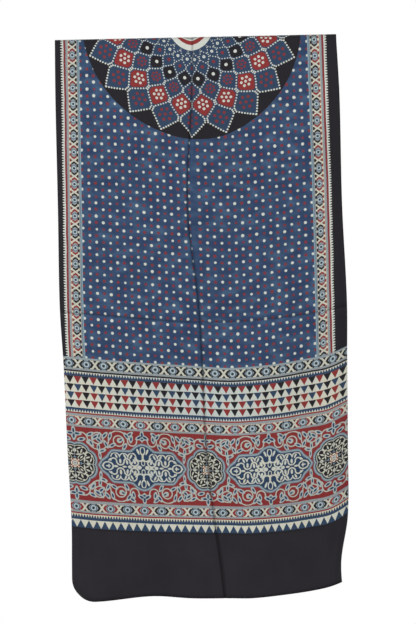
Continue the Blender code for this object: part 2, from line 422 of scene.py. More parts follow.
class Graph:
    """The nodes of a material or a world. soft is how far an edge fades, in the places' unit."""

    soft = 0.28 * MM

    def __init__(self, owner):
        owner.use_nodes = True
        self.tree = owner.node_tree

    def add(self, kind, settings, inputs, output=0):
        """A node of any type: its settings first, then the values or links of its sockets."""
        node = self.tree.nodes.new(kind)
        for name, value in settings.items():
            setattr(node, name, value)
        for name, value in inputs.items():
            if isinstance(value, Value):
                self.tree.links.new(value.socket, node.inputs[name])
            else:
                node.inputs[name].default_value = value
        return Value(self, node.outputs[output])

    def maths(self, operation, *values):
        return self.add("ShaderNodeMath", {"operation": operation}, dict(enumerate(values)))

    least, most = maths_node("MINIMUM"), maths_node("MAXIMUM")
    floor, nearest = maths_node("FLOOR"), maths_node("ROUND")
    sine, cosine = maths_node("SINE"), maths_node("COSINE")
    remainder, over = maths_node("FLOORED_MODULO"), maths_node("GREATER_THAN")
    # Up and down between 0 and the second value
    bounce = maths_node("PINGPONG")

    def vector_maths(self, operation, *values, output="Vector"):
        settings = {"operation": operation}
        return self.add("ShaderNodeVectorMath", settings, dict(enumerate(values)), output)

    def point(self, x, y):
        return self.add("ShaderNodeCombineXYZ", {}, {"X": x, "Y": y})

    def reach(self, point):
        """How far a point is from the middle of its places."""
        return self.vector_maths("LENGTH", point, output="Value")

    def length(self, x, y):
        return self.reach(self.point(x, y))

    def distance(self, point, x, y):
        return self.vector_maths("DISTANCE", point, (x, y, 0), output="Value")

    def curve(self, value, points):
        """Straight lines through a short list of points, each from 0 to 1 both ways."""
        made = self.add("ShaderNodeFloatCurve", {}, {"Value": value})
        mapping = made.socket.node.mapping
        line = mapping.curves[0]
        while len(line.points) < len(points):
            line.points.new(0.5, 0.5)
        for spot, (x, y) in zip(line.points, points):
            spot.location = (x, y)
            spot.handle_type = "VECTOR"
        mapping.update()
        return made

    def inside(self, edge, soft=None):
        """1 where a signed distance is inside, 0 outside, and soft between, as dye creeps."""
        soft = soft or self.soft
        inputs = {"Value": edge, "From Min": soft, "From Max": -soft, "To Min": 0.0, "To Max": 1.0}
        return self.add("ShaderNodeMapRange", {"clamp": True}, inputs)

    def stripe(self, place, start, end):
        """1 between two places and 0 outside them."""
        return self.inside(abs(place - (start + end) / 2) - (end - start) / 2)

    def mix(self, under, over, share, kind="MIX"):
        settings = {"data_type": "RGBA", "blend_type": kind}
        return self.add("ShaderNodeMix", settings, {0: share, 6: under, 7: over}, 2)

    def dye(self, under, over, edge, soft=None):
        """One colour over another, inside an edge."""
        return self.mix(under, over, self.inside(edge, soft))

    def noise(self, vector, scale, detail=2.0, rough=0.5, output="Fac"):
        inputs = {"Vector": vector, "Scale": scale, "Detail": detail, "Roughness": rough}
        return self.add("ShaderNodeTexNoise", {"noise_dimensions": "2D"}, inputs, output)

    def stretch(self, vector, x, y):
        return self.vector_maths("MULTIPLY", vector, (x, y, 1))

    def split(self, vector):
        x = self.add("ShaderNodeSeparateXYZ", {}, {0: vector})
        return x, x.output("Y")


# How far hand-held blocks and creeping dye shift the print
WANDER = 1.3 * MM
CREEP = 0.9 * MM

# Painted shade in dark lines along the two creases, and the paler cloth beside the crosswise one, rubbed
# bare
Mark = namedtuple("Mark", "middle half soft share")
DOWN_CREASE_SHADE = Mark(-1.2 * MM, 0.9 * MM, 2.2 * MM, 0.62)
CROSS_CREASE_SHADE = Mark(0.0, 1.1 * MM, 2.4 * MM, 0.66)
RUBBED = Mark(4 * MM, 3 * MM, 7 * MM, 0.30)

# How bright the dyes are at their darkest, and what the vat, streaks and specks add to that
DARKEST, VAT_ADDS, STREAKS_ADD, SPECKS_ADD = 0.73, 0.22, 0.12, 0.22
SMOOTHEST, SPECKS_ROUGHEN = 0.62, 0.14
SHINE, SHEEN, SHEEN_ROUGH = 0.20, 0.03, 0.45

# The plain weave: one warp thread and one weft thread from the next, and the relief's shares
WARP_STEP = 0.45 * MM
WEFT_STEP = 0.50 * MM
WEAVE_HIGH, SLUBS_HIGH, SPECKS_HIGH, PUCKERS_HIGH = 0.04, 0.10, 0.12, 1.6
RELIEF, RELIEF_STRENGTH = 0.6 * MM, 0.55


class Print(Graph):
    """One zone of the printed silk. across and along are the wandering places of the print."""

    def __init__(self, name):
        self.material = bpy.data.materials.new(name)
        super().__init__(self.material)
        self.shader = self.tree.nodes["Principled BSDF"]
        self.place = self.add("ShaderNodeUVMap", {"uv_map": CLOTH_MAP}, {})
        wander = self.noise(self.place, 22.0, 1.0, output="Color")
        creep = self.noise(self.place, 260.0, 2.0, 0.6, output="Color")
        shift_x, shift_y = self.split(wander)
        creep_x, creep_y = self.split(creep)
        across, along = self.split(self.place)
        self.across = across + (shift_x - 0.5) * WANDER + (creep_x - 0.5) * CREEP
        self.along = abs(along) + (shift_y - 0.5) * WANDER + (creep_y - 0.5) * CREEP
        folds = self.add("ShaderNodeUVMap", {"uv_map": FOLD_MAP}, {})
        self.off_crease, self.off_cross = self.split(folds)

    def cloth(self, colour):
        """Gives the printed colours the silk's own look: uneven dye, slubs and weave, with painted shade
        in dark lines along the two creases.
        """
        vat = self.noise(self.place, 9.0, 3.0, 0.6)
        streaks = self.noise(self.stretch(self.place, 160.0, 14.0), 1.0, 2.0)
        speck = self.noise(self.stretch(self.place, 420.0, 620.0), 1.0, 3.0, 0.7)
        rubbed = self.inside(abs(self.off_cross - RUBBED.middle) - RUBBED.half, RUBBED.soft)
        rubbed = rubbed * self.noise(self.place, 34.0, 1.0) * RUBBED.share
        bright = DARKEST + vat * VAT_ADDS + streaks * STREAKS_ADD + speck * SPECKS_ADD + rubbed
        colour = self.mix(colour, self.grey_of(bright), 1.0, "MULTIPLY")
        # Painted shade: dark lines along the two creases darken the colour
        off_crease = abs(self.off_crease - DOWN_CREASE_SHADE.middle) - DOWN_CREASE_SHADE.half
        down_crease_shade = self.inside(off_crease, DOWN_CREASE_SHADE.soft) * DOWN_CREASE_SHADE.share
        off_cross = abs(self.off_cross) - CROSS_CREASE_SHADE.half
        cross_crease_shade = self.inside(off_cross, CROSS_CREASE_SHADE.soft) * CROSS_CREASE_SHADE.share
        shade = 1 - self.most(down_crease_shade, cross_crease_shade)
        colour = self.mix(colour, self.grey_of(shade), 1.0, "MULTIPLY")
        self.tree.links.new(colour.socket, self.shader.inputs["Base Color"])
        rough = SMOOTHEST + speck * SPECKS_ROUGHEN
        self.tree.links.new(rough.socket, self.shader.inputs["Roughness"])
        self.shader.inputs["Specular IOR Level"].default_value = SHINE
        self.shader.inputs["Sheen Weight"].default_value = SHEEN
        self.shader.inputs["Sheen Roughness"].default_value = SHEEN_ROUGH
        self.weave(speck)
        return self.material

    def grey_of(self, value):
        return self.add("ShaderNodeCombineColor", {}, {0: value, 1: value, 2: value})

    def weave(self, speck):
        """Fine plain weave with slubs along it, and soft puckers."""
        across, along = self.split(self.place)
        warp = self.sine(across * (math.tau / WARP_STEP))
        weft = self.sine(along * (math.tau / WEFT_STEP))
        slubs = self.noise(self.stretch(self.place, 60.0, 900.0), 1.0, 2.0)
        pucker = self.noise(self.stretch(self.place, 34.0, 12.0), 1.0, 3.0)
        height = warp * weft * WEAVE_HIGH + slubs * SLUBS_HIGH + speck * SPECKS_HIGH
        height = height + pucker * PUCKERS_HIGH
        inputs = {"Strength": RELIEF_STRENGTH, "Distance": RELIEF, "Height": height}
        normal = self.add("ShaderNodeBump", {}, inputs, "Normal")
        self.tree.links.new(normal.socket, self.shader.inputs["Normal"])


# How steep a tooth's sides are. At 2 they would meet in a point
TOOTH_STEEP = 2.7


def teeth(g, place, along, base, height, pitch):
    """A row of blunt teeth: 1 before base and on to each tooth's edge, and 0 past it."""
    tip = g.least(g.bounce(place, pitch / 2) * (TOOTH_STEEP / pitch), 1.0)
    return g.inside(along - base - tip * height)


# A line across the print, from one place to another
Line = namedtuple("Line", "start end colour")


def lay_lines(g, colour, lines, place):
    for line in lines:
        colour = g.mix(colour, line.colour, g.stripe(place, line.start, line.end))
    return colour


# A rosette's discs, each over the one before, as shares of the strip's half width
ROSETTE = ((0.88, STEEL_BLUE), (0.64, PALE_DOT), (0.42, OUTLINE_BLUE), (0.25, IRON_BLACK))
# A chain's other marks, as shares of the same. LEAN is how far a mark's side moves along the strip
# for each step across it, and TRUE makes the distance beside that side a real one
CHEVRON_LEAN, CHEVRON_TRUE = 0.72, 0.81
CHEVRON_MIDDLE, CHEVRON_HALF, CHEVRON_HIGH = 0.55, 0.24, 0.76
WEDGE_LEAN, WEDGE_TRUE, WEDGE_FOOT = 1.4, 0.58, 0.40
SPOT_HIGH, SPOT_RADIUS = 0.84, 0.22


def guilloche(g, along, across, pitch, half, alternate):
    """A chain of rosettes between crossings. across is 0 at the strip's middle.

    A dark chevron on either side of a rosette points at the crossing, which has dark wedges
    above and below it.
    """
    cell = g.nearest(along / pitch)
    x = abs(along - cell * pitch)
    y = abs(across)
    ground = g.mix(IRON_BLACK, MADDER, g.remainder(cell, 2.0)) if alternate else IRON_BLACK
    to_cross = pitch / 2 - x
    beside = to_cross - y * CHEVRON_LEAN - half * CHEVRON_MIDDLE
    chevron = g.most(abs(beside) * CHEVRON_TRUE - half * CHEVRON_HALF, y - half * CHEVRON_HIGH)
    wedge = (to_cross * WEDGE_LEAN - y + half * WEDGE_FOOT) * WEDGE_TRUE
    spot = g.length(x - pitch / 6, y - half * SPOT_HIGH) - half * SPOT_RADIUS
    colour = g.dye(GREY, RESIST, beside)
    colour = g.dye(colour, ground, g.least(g.least(chevron, wedge), spot))
    far = g.length(x, y)
    for reach, shade in ROSETTE:
        colour = g.dye(colour, shade, far - half * reach)
    return colour


# The field's dots: the steps between their columns and rows, and where those start beside the
# middle and over the strips. The block on the left was set down nearer to the middle. The rows
# spread a little from SPREAD_FROM up, and each dot has its own size and place
DOT_COLUMN = 13.25 * MM
DOT_ROW = 12.7 * MM
FIRST_COLUMN = 2.75 * MM
LEFT_BLOCK = 5.75 * MM
FIRST_ROW = 2.0 * MM
SPREAD_FROM = 0.22
SPREAD = 0.085
DOT_RADIUS = 2.65 * MM
DOT_UNEVEN = 0.8 * MM
DOT_JOG = 1.3 * MM
DOT_SOFT = 0.6 * MM
# The vat left the indigo worn in pools
POOL_SHARE, POOL_STEEP = 2.6, 3.0


def dotted_field(g):
    """White and red dots by turns, printed on indigo."""
    left = g.over(0.0, g.across)
    u = (g.across - FIRST_COLUMN + left * LEFT_BLOCK) / DOT_COLUMN + 0.5 + left
    height = STRIPS_START - g.along
    v = (height - FIRST_ROW - g.most(height - SPREAD_FROM, 0.0) ** 2.0 * SPREAD) / DOT_ROW
    column, row = g.nearest(u), g.nearest(v)
    white = g.remainder(column + row, 2.0)
    cell = g.point(column, row)
    chance = g.add("ShaderNodeTexWhiteNoise", {"noise_dimensions": "2D"}, {"Vector": cell}, "Color")
    jog_x, jog_y = g.split(chance)
    x = (u - column) * DOT_COLUMN + (jog_x - 0.5) * DOT_JOG
    y = (v - row) * DOT_ROW + (jog_y - 0.5) * DOT_JOG
    size = DOT_RADIUS + (jog_x - 0.5) * DOT_UNEVEN
    dot = g.inside(g.length(x, y) - size, DOT_SOFT)
    pool = g.noise(g.stretch(g.place, 30.0, 46.0), 1.0, 2.0)
    ground = g.mix(INDIGO, WORN_INDIGO, pool**POOL_STEEP * POOL_SHARE)
    return g.mix(ground, g.mix(DULL_RED, WHITE, white), dot)


# The side border lies between two places across the cloth. Its lines, its chain and its dashes
# are placed by how far in they are from its outer edge
BORDER_OUTER = 0.260
BORDER_INNER = 0.2230
BORDER_LINES = (
    Line(0.0050, 0.0060, WHITE),
    Line(0.0060, 0.0098, DULL_RED),
    Line(0.0098, 0.0140, GREY),
    Line(0.0140, 0.0170, CREAM),
    Line(0.0294, 0.0312, CREAM),
    Line(0.0312, 0.0336, GREY),
    Line(0.0336, 0.0344, STEEL_BLUE),
    Line(0.0344, 0.0370, PALE_BLUE),
)
TEETH_DEEP = 5.0 * MM
TEETH_PITCH = 5.2 * MM
TEETH_OVERLAP = 0.4 * MM
BORDER_PITCH = 31.7 * MM
BORDER_START = 2.0 * MM
CHAIN_START, CHAIN_MIDDLE, CHAIN_END = 16.6 * MM, 23.2 * MM, 29.6 * MM
CHAIN_HALF = 6.9 * MM
Dashes = namedtuple("Dashes", "middle half long colour")
BORDER_DASHES = (
    Dashes(15.9, 1.2, 6.0, MADDER),
    Dashes(30.0, 1.5, 6.4, IRON_BLACK),
)


def side_border(g, colour):
    """The lengthwise border, over the field's edge and out to the black margin."""
    out = abs(g.across)
    inward = BORDER_OUTER - out
    colour = g.dye(colour, IRON_BLACK, BORDER_INNER - out)
    beside = g.along - BORDER_START + BORDER_PITCH
    chain = guilloche(g, beside, inward - CHAIN_MIDDLE, BORDER_PITCH, CHAIN_HALF, True)
    colour = g.mix(colour, chain, g.stripe(inward, CHAIN_START, CHAIN_END))
    tooth = teeth(g, g.along, inward * -1, -TEETH_DEEP, TEETH_DEEP, TEETH_PITCH)
    colour = g.mix(colour, WHITE, tooth * g.stripe(inward, 0.0, TEETH_DEEP + TEETH_OVERLAP))
    colour = lay_lines(g, colour, BORDER_LINES, inward)
    for row in BORDER_DASHES:
        place = g.bounce(beside + BORDER_PITCH / 6, BORDER_PITCH / 6) - row.long / 2 * MM
        dash = g.inside(g.most(place, abs(inward - row.middle * MM) - row.half * MM))
        colour = g.mix(colour, row.colour, dash)
    return colour


# The medallion, in millimetres. The outlines of its cells are two sets of dotted spirals, and a
# ring's cells have their middles on its radius. The right half was printed a little narrower
MEDALLION_RADIUS = 216.5
RING_RADII = (47.6, 61.2, 78.2, 98.6, 122.4, 149.6, 180.2, 212.0)
RING_REACH = 0.24
PETALS = 20
RIGHT_STRETCH = 0.02
HUB = 46.0
HUB_RINGS = ((43.5, WHITE), (32.6, MADDER), (24.4, WHITE), (21.5, GREY), (16.0, CREAM))
# The dots are this far apart, and they and the room beside an outline grow with the radius
DOT_STEP = 3.85 * MM
DOT_LEAST, DOT_GROWS = 0.80 * MM, 0.0048
ROOM_LEAST, ROOM_GROWS = 3.6 * MM, 0.214
# The cells go on to the end of this ring, and past it only the dotted tips do
LAST_RING = 6
EDGE_ROOM, TIP_ROOM = 2.2, 2.4
TIPS_END = 213.5
CELL_SOFT = 0.4 * MM
# Outlines run together over this share of a cell's side, this far apart
PARTING = 0.0052
RUN_TOGETHER = 0.075
# The cells' colours: a ring's number, the room kept beside its outlines, and its cells' reach
Cell = namedtuple("Cell", "ring room reach colour")
CELLS = (
    Cell(3, 2.2, 14.5, IRON_BLACK),
    Cell(5, 3.0, 22.0, MADDER),
)
Spot = namedtuple("Spot", "ring radius colour")
SPOTS = (
    Spot(1, 2.9, WHITE),
    Spot(1, 0.8, DEEP_INDIGO),
    Spot(2, 3.2, DULL_RED),
    Spot(3, 3.2, WHITE),
)
# Flowers of dots. eye is the red middle of each dot, where it has one
Flower = namedtuple("Flower", "ring count reach dot colour eye")
FLOWERS = (
    Flower(4, 7, 7.6, 2.4, DULL_RED, None),
    Flower(5, 6, 8.6, 2.6, WHITE, 0.5),
    Flower(6, 6, 11.2, 3.0, DULL_RED, None),
)


def from_dots(g, toward, beside, flower):
    """How far a place is from the middle of a flower's nearest dot: the one in its middle or around it."""
    angle = g.maths("ARCTAN2", beside, toward)
    turn = math.tau / flower.count
    angle = angle - g.nearest(angle / turn) * turn
    far = g.length(toward, beside)
    around = g.length(far * g.cosine(angle) - flower.reach * MM, far * g.sine(angle))
    return g.least(far, around)


def medallion(g, field):
    """Rings of cells between two sets of dotted spirals that cross, on a black disc."""
    across = g.across + g.most(g.across, 0.0) * RIGHT_STRETCH
    radius = g.length(across, g.along)
    angle = g.maths("ARCTAN2", across, g.along) * (PETALS / math.tau)
    ring_count = len(RING_RADII)
    table = [(r * MM / RING_REACH, (n + 0.5) / ring_count) for n, r in enumerate(RING_RADII)]
    table = [(0.0, 0.0), *table, (1.0, 1.0)]
    inverse = [(y, x) for x, y in table]

    def level_at(place):
        """Half a ring's number at a radius. The spirals turn by it, one set to each side."""
        return (g.curve(place / RING_REACH, table) - 0.5 / ring_count) * (ring_count / 2)

    level = level_at(radius)
    u, v = angle + level + 0.5, angle - level + 0.5
    ring = g.floor(u) - g.floor(v)
    middle_angle = (g.floor(u) + g.floor(v)) * 0.5
    middle_radius = g.curve((ring + 0.5) / ring_count, inverse) * RING_REACH
    beside = (angle - middle_angle) * middle_radius * (math.tau / PETALS)
    toward = radius - middle_radius

    def kept(meeting):
        """1 where outlines run together, 0 at the innermost and outermost tips."""
        return g.inside(abs(meeting - (LAST_RING + 1) / 2) - LAST_RING / 2, 0.1)

    def from_line(at_radius):
        """How far beside the nearest outline a place is, with outlines kept apart where they meet."""
        level_there = level_at(at_radius)
        meeting = g.nearest(level_there * 2)
        away = abs(level_there - meeting / 2)
        beside_meeting = angle - (meeting + 1) / 2
        beside_meeting = abs(beside_meeting - g.nearest(beside_meeting))
        away = g.most(away - RUN_TOGETHER * kept(meeting), 0.0) / (1 - 4 * RUN_TOGETHER * kept(meeting))
        return beside_meeting - away - (1 - 4 * away) * PARTING * kept(meeting) * level_there**2.0

    dot_radius = g.nearest(radius / DOT_STEP) * DOT_STEP
    beside_dot = from_line(dot_radius) * radius * (math.tau / PETALS)
    dotted = g.length(beside_dot, radius - dot_radius) - (DOT_LEAST + radius * DOT_GROWS)
    line_off = abs(from_line(radius)) * (radius * ROOM_GROWS + ROOM_LEAST)

    def is_ring(n):
        return g.stripe(ring, n - 0.5, n + 0.5)

    colour = g.dye(field, IRON_BLACK, radius - MEDALLION_RADIUS * MM)
    petals = g.inside(ring - (LAST_RING + 0.5))
    colour = g.mix(colour, STRIP_BLUE, petals)
    small = g.length(toward, beside)
    for cell in CELLS:
        inner = g.inside(cell.room * MM - line_off, CELL_SOFT)
        shape = is_ring(cell.ring) * inner * g.inside(small - cell.reach * MM)
        colour = g.mix(colour, cell.colour, shape)
    for spot in SPOTS:
        colour = g.mix(colour, spot.colour, is_ring(spot.ring) * g.inside(small - spot.radius * MM))
    for flower in FLOWERS:
        off = from_dots(g, toward, beside, flower)
        colour = g.mix(colour, flower.colour, is_ring(flower.ring) * g.inside(off - flower.dot * MM))
        if flower.eye:
            colour = g.mix(colour, MADDER, is_ring(flower.ring) * g.inside(off - flower.eye * MM))
    outside_hub = g.over(radius, HUB * MM)
    between = g.stripe(ring, 0.5, LAST_RING + 0.5)
    edge = g.inside(line_off - EDGE_ROOM * MM) * petals * outside_hub
    colour = g.mix(colour, STRIP_BLUE, edge)
    tips = g.inside(line_off - TIP_ROOM * MM) * g.inside(radius - TIPS_END * MM)
    colour = g.mix(colour, WHITE, g.inside(dotted) * g.most(between, tips) * outside_hub)
    colour = g.dye(colour, STRIP_BLUE, radius - HUB * MM)
    for reach, shade in HUB_RINGS:
        colour = g.dye(colour, shade, radius - reach * MM)
    return colour


def medallion_zone():
    g = Print("silk_medallion")
    return g.cloth(side_border(g, medallion(g, dotted_field(g))))


def field_zone():
    g = Print("silk_field")
    return g.cloth(side_border(g, dotted_field(g)))


# The cross strips above the red band, as places along the cloth from the medallion's middle
UPPER_LINES = (
    Line(0.6615, 0.6632, PALE_BLUE),
    Line(0.6632, 0.6658, GREY),
    Line(0.6826, 0.6866, GREY),
    Line(0.6866, 0.6900, IRON_BLACK),
    Line(0.6950, 0.6985, STRIP_BLUE),
    Line(0.7583, 0.7620, STRIP_BLUE),
    Line(0.7668, 0.7698, MADDER),
    Line(0.7698, 0.7740, GREY),
    Line(0.7740, 0.7752, CREAM),
    Line(0.7908, 0.7960, GREY),
)
# A strip's chain of rosettes: half and shift are in millimetres
Chain = namedtuple("Chain", "middle start end half shift alternate")
UPPER_CHAIN = Chain(0.6742, 0.6650, 0.6830, 8.4, 9.2, False)
MIDDLE_CHAIN = Chain(0.7830, 0.7750, 0.7910, 7.9, 41.0, True)
CHAIN_PITCH = 33.0 * MM
# A row of teeth: its foot, its height in millimetres, where it shows, and 1 down or -1 up the cloth
Teeth = namedtuple("Teeth", "foot height start end way")
UPPER_TEETH = (
    Teeth(0.6955, 4.8, 0.6902, 0.6957, -1),
    Teeth(0.7615, 4.8, 0.7612, 0.7667, 1),
)
TOOTH = 5.2 * MM
EDGING_STEP = 1.6 * MM
EDGING_START, EDGING_END = 0.7740, 0.7750
# How much cloth the lengthwise crease hides from the strips above and below the red band, and how
# much wider the upper chain runs on the right of the middle
TUCKED_AWAY = 11.5 * MM
TUCKED_LOW = 7.0 * MM
UPPER_CHAIN_STRETCH = 0.03
TRIANGLE = 15.0 * MM
TRIANGLE_WIDE = 15.4 * MM
TRIANGLE_ROWS = 0.6984
TRIANGLE_DROP = 15.0 * MM
TRIANGLE_TALL = 13.8 * MM
TRIANGLE_TRUE = 0.88
# How pale the triangles' ground is at the middle, and how fast that fades towards the sides
MIDDLE_PALE, PALE_FADES = 0.9, 4.0


def strip_ground(g):
    return g.mix(CREAM, WHITE, g.noise(g.place, 30.0, 2.0))


def past_crease(g, hidden):
    """The place across, with hidden cloth added on the right of the lengthwise crease."""
    return g.across + g.over(g.off_crease, 0.0) * hidden


def chain_strip(g, colour, chain, across):
    off = g.along - chain.middle
    shift, half = chain.shift * MM, chain.half * MM
    rosettes = guilloche(g, across - shift, off, CHAIN_PITCH, half, chain.alternate)
    return g.mix(colour, rosettes, g.stripe(g.along, chain.start, chain.end))


def tooth_rows(g, colour, rows):
    for row in rows:
        shape = teeth(g, g.across, g.along * row.way, row.foot * row.way, row.height * MM, TOOTH)
        colour = g.mix(colour, STRIP_BLUE, shape * g.stripe(g.along, row.start, row.end))
    return colour


def triangle_rows(g, colour, across):
    """Four rows of triangles that point down, coloured by turns."""
    column = g.nearest(across / TRIANGLE)
    turn = column + 1
    row = g.floor((g.along - TRIANGLE_ROWS) / TRIANGLE_DROP)
    x = abs(across - column * TRIANGLE)
    y = g.along - TRIANGLE_ROWS - row * TRIANGLE_DROP
    odd = g.remainder(turn, 2.0)
    fourth = g.stripe(g.remainder(turn, 4.0), -0.5, 0.5)
    second_row, third_row = g.stripe(row, 0.5, 1.5), g.stripe(row, 1.5, 2.5)
    odd_colour = g.mix(MADDER, STRIP_BLUE, second_row)
    even_colour = g.mix(IRON_BLACK, STRIP_BLUE, third_row * fourth)
    shade = g.mix(even_colour, odd_colour, odd)
    side = (x - TRIANGLE_WIDE / 2 + y * (TRIANGLE_WIDE / 2 / TRIANGLE_TALL)) * TRIANGLE_TRUE
    shape = g.inside(g.most(side, y - TRIANGLE_TALL))
    in_rows = g.stripe(row, -0.5, 3.5)
    return g.mix(colour, shade, shape * in_rows)


def upper_zone():
    g = Print("silk_upper_strips")
    pale = g.most(MIDDLE_PALE - abs(g.across) * PALE_FADES, 0.0)
    colour = g.mix(strip_ground(g), PALE_DOT, pale)
    across = past_crease(g, TUCKED_AWAY)
    colour = triangle_rows(g, colour, across)
    right = g.most(g.across, 0.0)
    colour = chain_strip(g, colour, UPPER_CHAIN, across + right * UPPER_CHAIN_STRETCH)
    colour = chain_strip(g, colour, MIDDLE_CHAIN, across)
    colour = lay_lines(g, colour, UPPER_LINES, g.along)
    colour = tooth_rows(g, colour, UPPER_TEETH)
    edging = g.inside(g.bounce(g.across, EDGING_STEP) - EDGING_STEP / 2)
    colour = g.mix(colour, MADDER, edging * g.stripe(g.along, EDGING_START, EDGING_END))
    return g.cloth(colour)


# The red band. Its marks are placed in millimetres, across and along the cloth, from the middle
# of a round medallion or a cartouche, and each is there again in that middle's other quarters.
# The left repeat's marks lie up to a quarter of LEFT_STRETCH further out
BAND_MIDDLE = 0.8640
BAND_HALF = 69.5
REPEAT = 0.254
HALF_REPEAT = 127.0
LEFT_STRETCH = 0.0168
BAND_SOFT = 0.30
# Further off than any mark
NOWHERE = 300
# How far the resist spread past the drawn vine and leaves, and the dark heart of a leaf
VINE_SPREAD = 0.38
LEAF_SPREAD = 1.6
LEAF_HEART = 0.15
VINE_MARGIN = 2.0
# How far in from its edge a shape's thin line, its ground and its lace start
Rim = namedtuple("Rim", "line ground lace")
CARTOUCHE_RIM = Rim(2.5, 4.8, 6.6)
ROUND_RIM = Rim(2.4, 4.6, 6.2)
RIM_LINE = 0.5
# The round medallion's lobes, the ring of its lace, its cross and its checked middle
ROUND_RADIUS = 38.6
LOBES = 8
LOBE_DEEP, LOBE_FULL = 4.4, 0.7
LACE_RING, LACE_RING_HALF = 7.3, 0.85
ROUND_DRAWN_IN = 0.15
CROSS_HALF, CROSS_END = 0.55, 4.0
DIAMOND_MIDDLE, DIAMOND_HALF, DIAMOND_EDGE = 9.0, 2.8, 1.0
SQUARE_EDGE, SQUARE, CHECK = 9.0, 8.1, 2.7
MIDDLE_DISC, MIDDLE_DOT = 4.4, 1.2
Oval = namedtuple("Oval", "x y long wide turn")
Ring = namedtuple("Ring", "x y radius line half", defaults=(0,))
Loop = namedtuple("Loop", "x y long wide turn line")
# Leaves and stems in one eighth of a round medallion
ROUND_LOOPS = (
    Loop(12.0, 12.0, 8.6, 4.2, 45, 0.7),
)
ROUND_OVALS = (
    Oval(24.5, 0.0, 3.8, 3.0, 0),
    Oval(17.2, 7.0, 5.4, 1.5, 82),
    Oval(12.0, 12.0, 3.6, 1.5, 45),
    Oval(21.5, 21.5, 4.6, 2.0, 45),
    Oval(23.5, 12.0, 4.4, 1.6, 20),
    Oval(28.8, 7.5, 4.4, 1.5, 65),
    Oval(19.0, 17.0, 3.6, 1.4, -45),
    Oval(30.5, 15.0, 3.0, 1.3, 90),
    Oval(22.0, 5.5, 3.6, 1.2, -25),
)
# Leaves and stems in one quarter of a cartouche, out from its middle
CARTOUCHE_RINGS = (
    Ring(17.0, 10.0, 8.0, 1.35, -1),
    Ring(30.6, 10.0, 5.6, 1.35, 1),
    Ring(43.2, 10.0, 7.0, 1.25, -1),
    Ring(55.6, 10.0, 5.4, 1.20, 1),
    Ring(52.5, 17.6, 8.2, 1.15, 1),
    Ring(36.4, 17.6, 7.9, 1.15, 1),
    Ring(20.8, 19.0, 7.5, 1.15, 1),
    Ring(6.6, 19.0, 6.7, 1.30, -1),
)
CARTOUCHE_LOOPS = (
    Loop(66.6, 0.0, 9.4, 7.6, 0, 1.15),
    Loop(0.0, 8.4, 4.6, 3.2, 90, 0.7),
    Loop(0.0, 32.0, 7.6, 4.2, 90, 0.9),
)
CARTOUCHE_OVALS = (
    Oval(7.6, 0.0, 4.4, 3.8, 0),
    Oval(16.4, 10.8, 5.0, 2.4, 68),
    Oval(21.4, 7.6, 3.2, 1.6, 120),
    Oval(15.8, 0.0, 3.6, 2.2, 0),
    Oval(25.6, 0.0, 3.8, 3.0, 0),
    Oval(30.6, 9.0, 4.6, 2.1, 80),
    Oval(35.4, 0.0, 4.0, 1.8, 0),
    Oval(43.2, 10.4, 4.6, 2.2, 90),
    Oval(52.0, 0.0, 4.4, 1.9, 0),
    Oval(66.0, 0.0, 4.4, 1.5, 0),
    Oval(65.0, 0.0, 4.2, 1.4, 90),
    Oval(77.2, 0.0, 3.0, 1.3, 0),
    Oval(50.6, 19.6, 4.6, 1.7, 62),
    Oval(34.4, 20.0, 4.6, 1.7, 62),
    Oval(22.6, 19.8, 4.8, 1.8, 118),
    Oval(12.6, 14.0, 6.0, 2.2, 52),
    Oval(0.0, 20.0, 5.4, 1.9, 90),
    Oval(62.8, 12.4, 3.8, 1.4, -42),
    Oval(8.8, 30.5, 6.4, 1.9, 66),
)
# The vine: half rings join into a stem that goes over one scroll and under the next
VINE_RINGS = (
    Ring(14.0, 49.0, 10.5, 0.75, 1),
    Ring(44.0, 49.0, 19.5, 0.75, -1),
    Ring(81.5, 49.0, 18.0, 0.75, 1),
    Ring(108.0, 49.0, 8.5, 0.75, -1),
    Ring(121.5, 49.0, 5.0, 0.75, 1),
    Ring(43.0, 51.0, 10.5, 0.75),
    Ring(82.5, 48.5, 9.8, 0.75),
    Ring(84.0, 49.5, 3.8, 0.65),
    Ring(29.0, 44.0, 6.0, 0.65, -1),
)
VINE_LEAVES = (
    Oval(39.0, 53.0, 4.6, 2.0, 40),
    Oval(45.5, 47.5, 4.6, 2.0, -40),
    Oval(46.5, 55.5, 3.8, 1.7, 75),
    Oval(86.5, 50.5, 3.4, 1.8, 30),
    Oval(56.5, 57.0, 4.6, 2.0, 50),
    Oval(58.5, 40.5, 4.4, 1.8, -65),
    Oval(66.5, 56.5, 4.4, 1.9, 75),
    Oval(70.0, 39.5, 4.4, 1.9, 30),
    Oval(29.5, 57.5, 4.4, 1.9, 25),
    Oval(31.0, 41.0, 4.4, 1.8, -60),
    Oval(13.5, 46.5, 4.6, 2.2, 15),
    Oval(93.5, 38.5, 4.4, 1.9, 60),
    Oval(97.5, 58.5, 4.6, 2.0, -55),
    Oval(103.5, 62.5, 4.2, 1.9, 35),
    Oval(106.0, 53.5, 4.2, 1.9, 80),
    Oval(50.5, 27.5, 4.0, 1.6, 20),
    Oval(44.0, 34.0, 3.8, 1.5, 90),
    Oval(46.0, 18.5, 3.6, 1.3, 95),
    Oval(0.0, 51.5, 4.6, 2.1, 90),
    Oval(0.0, 62.0, 4.6, 2.1, 90),
    Oval(6.2, 56.5, 4.8, 2.1, 0),
    Oval(127.0, 62.5, 4.8, 2.3, 90),
    Oval(121.5, 57.0, 4.8, 2.3, 30),
    Oval(127.0, 54.0, 3.0, 1.9, 0),
)
CARTOUCHE_OUTLINE = (
    (0.0, 46.0),
    (5.0, 45.0),
    (10.0, 43.0),
    (15.0, 40.0),
    (19.5, 36.0),
    (23.0, 33.2),
    (27.0, 32.6),
    (56.0, 32.6),
    (60.5, 31.0),
    (65.0, 26.0),
    (69.0, 20.0),
    (74.0, 15.5),
    (78.0, 12.5),
    (82.0, 7.0),
    (86.5, 0.0),
    (127.0, -32.0),
)
OUTLINE_LOW = -32.0
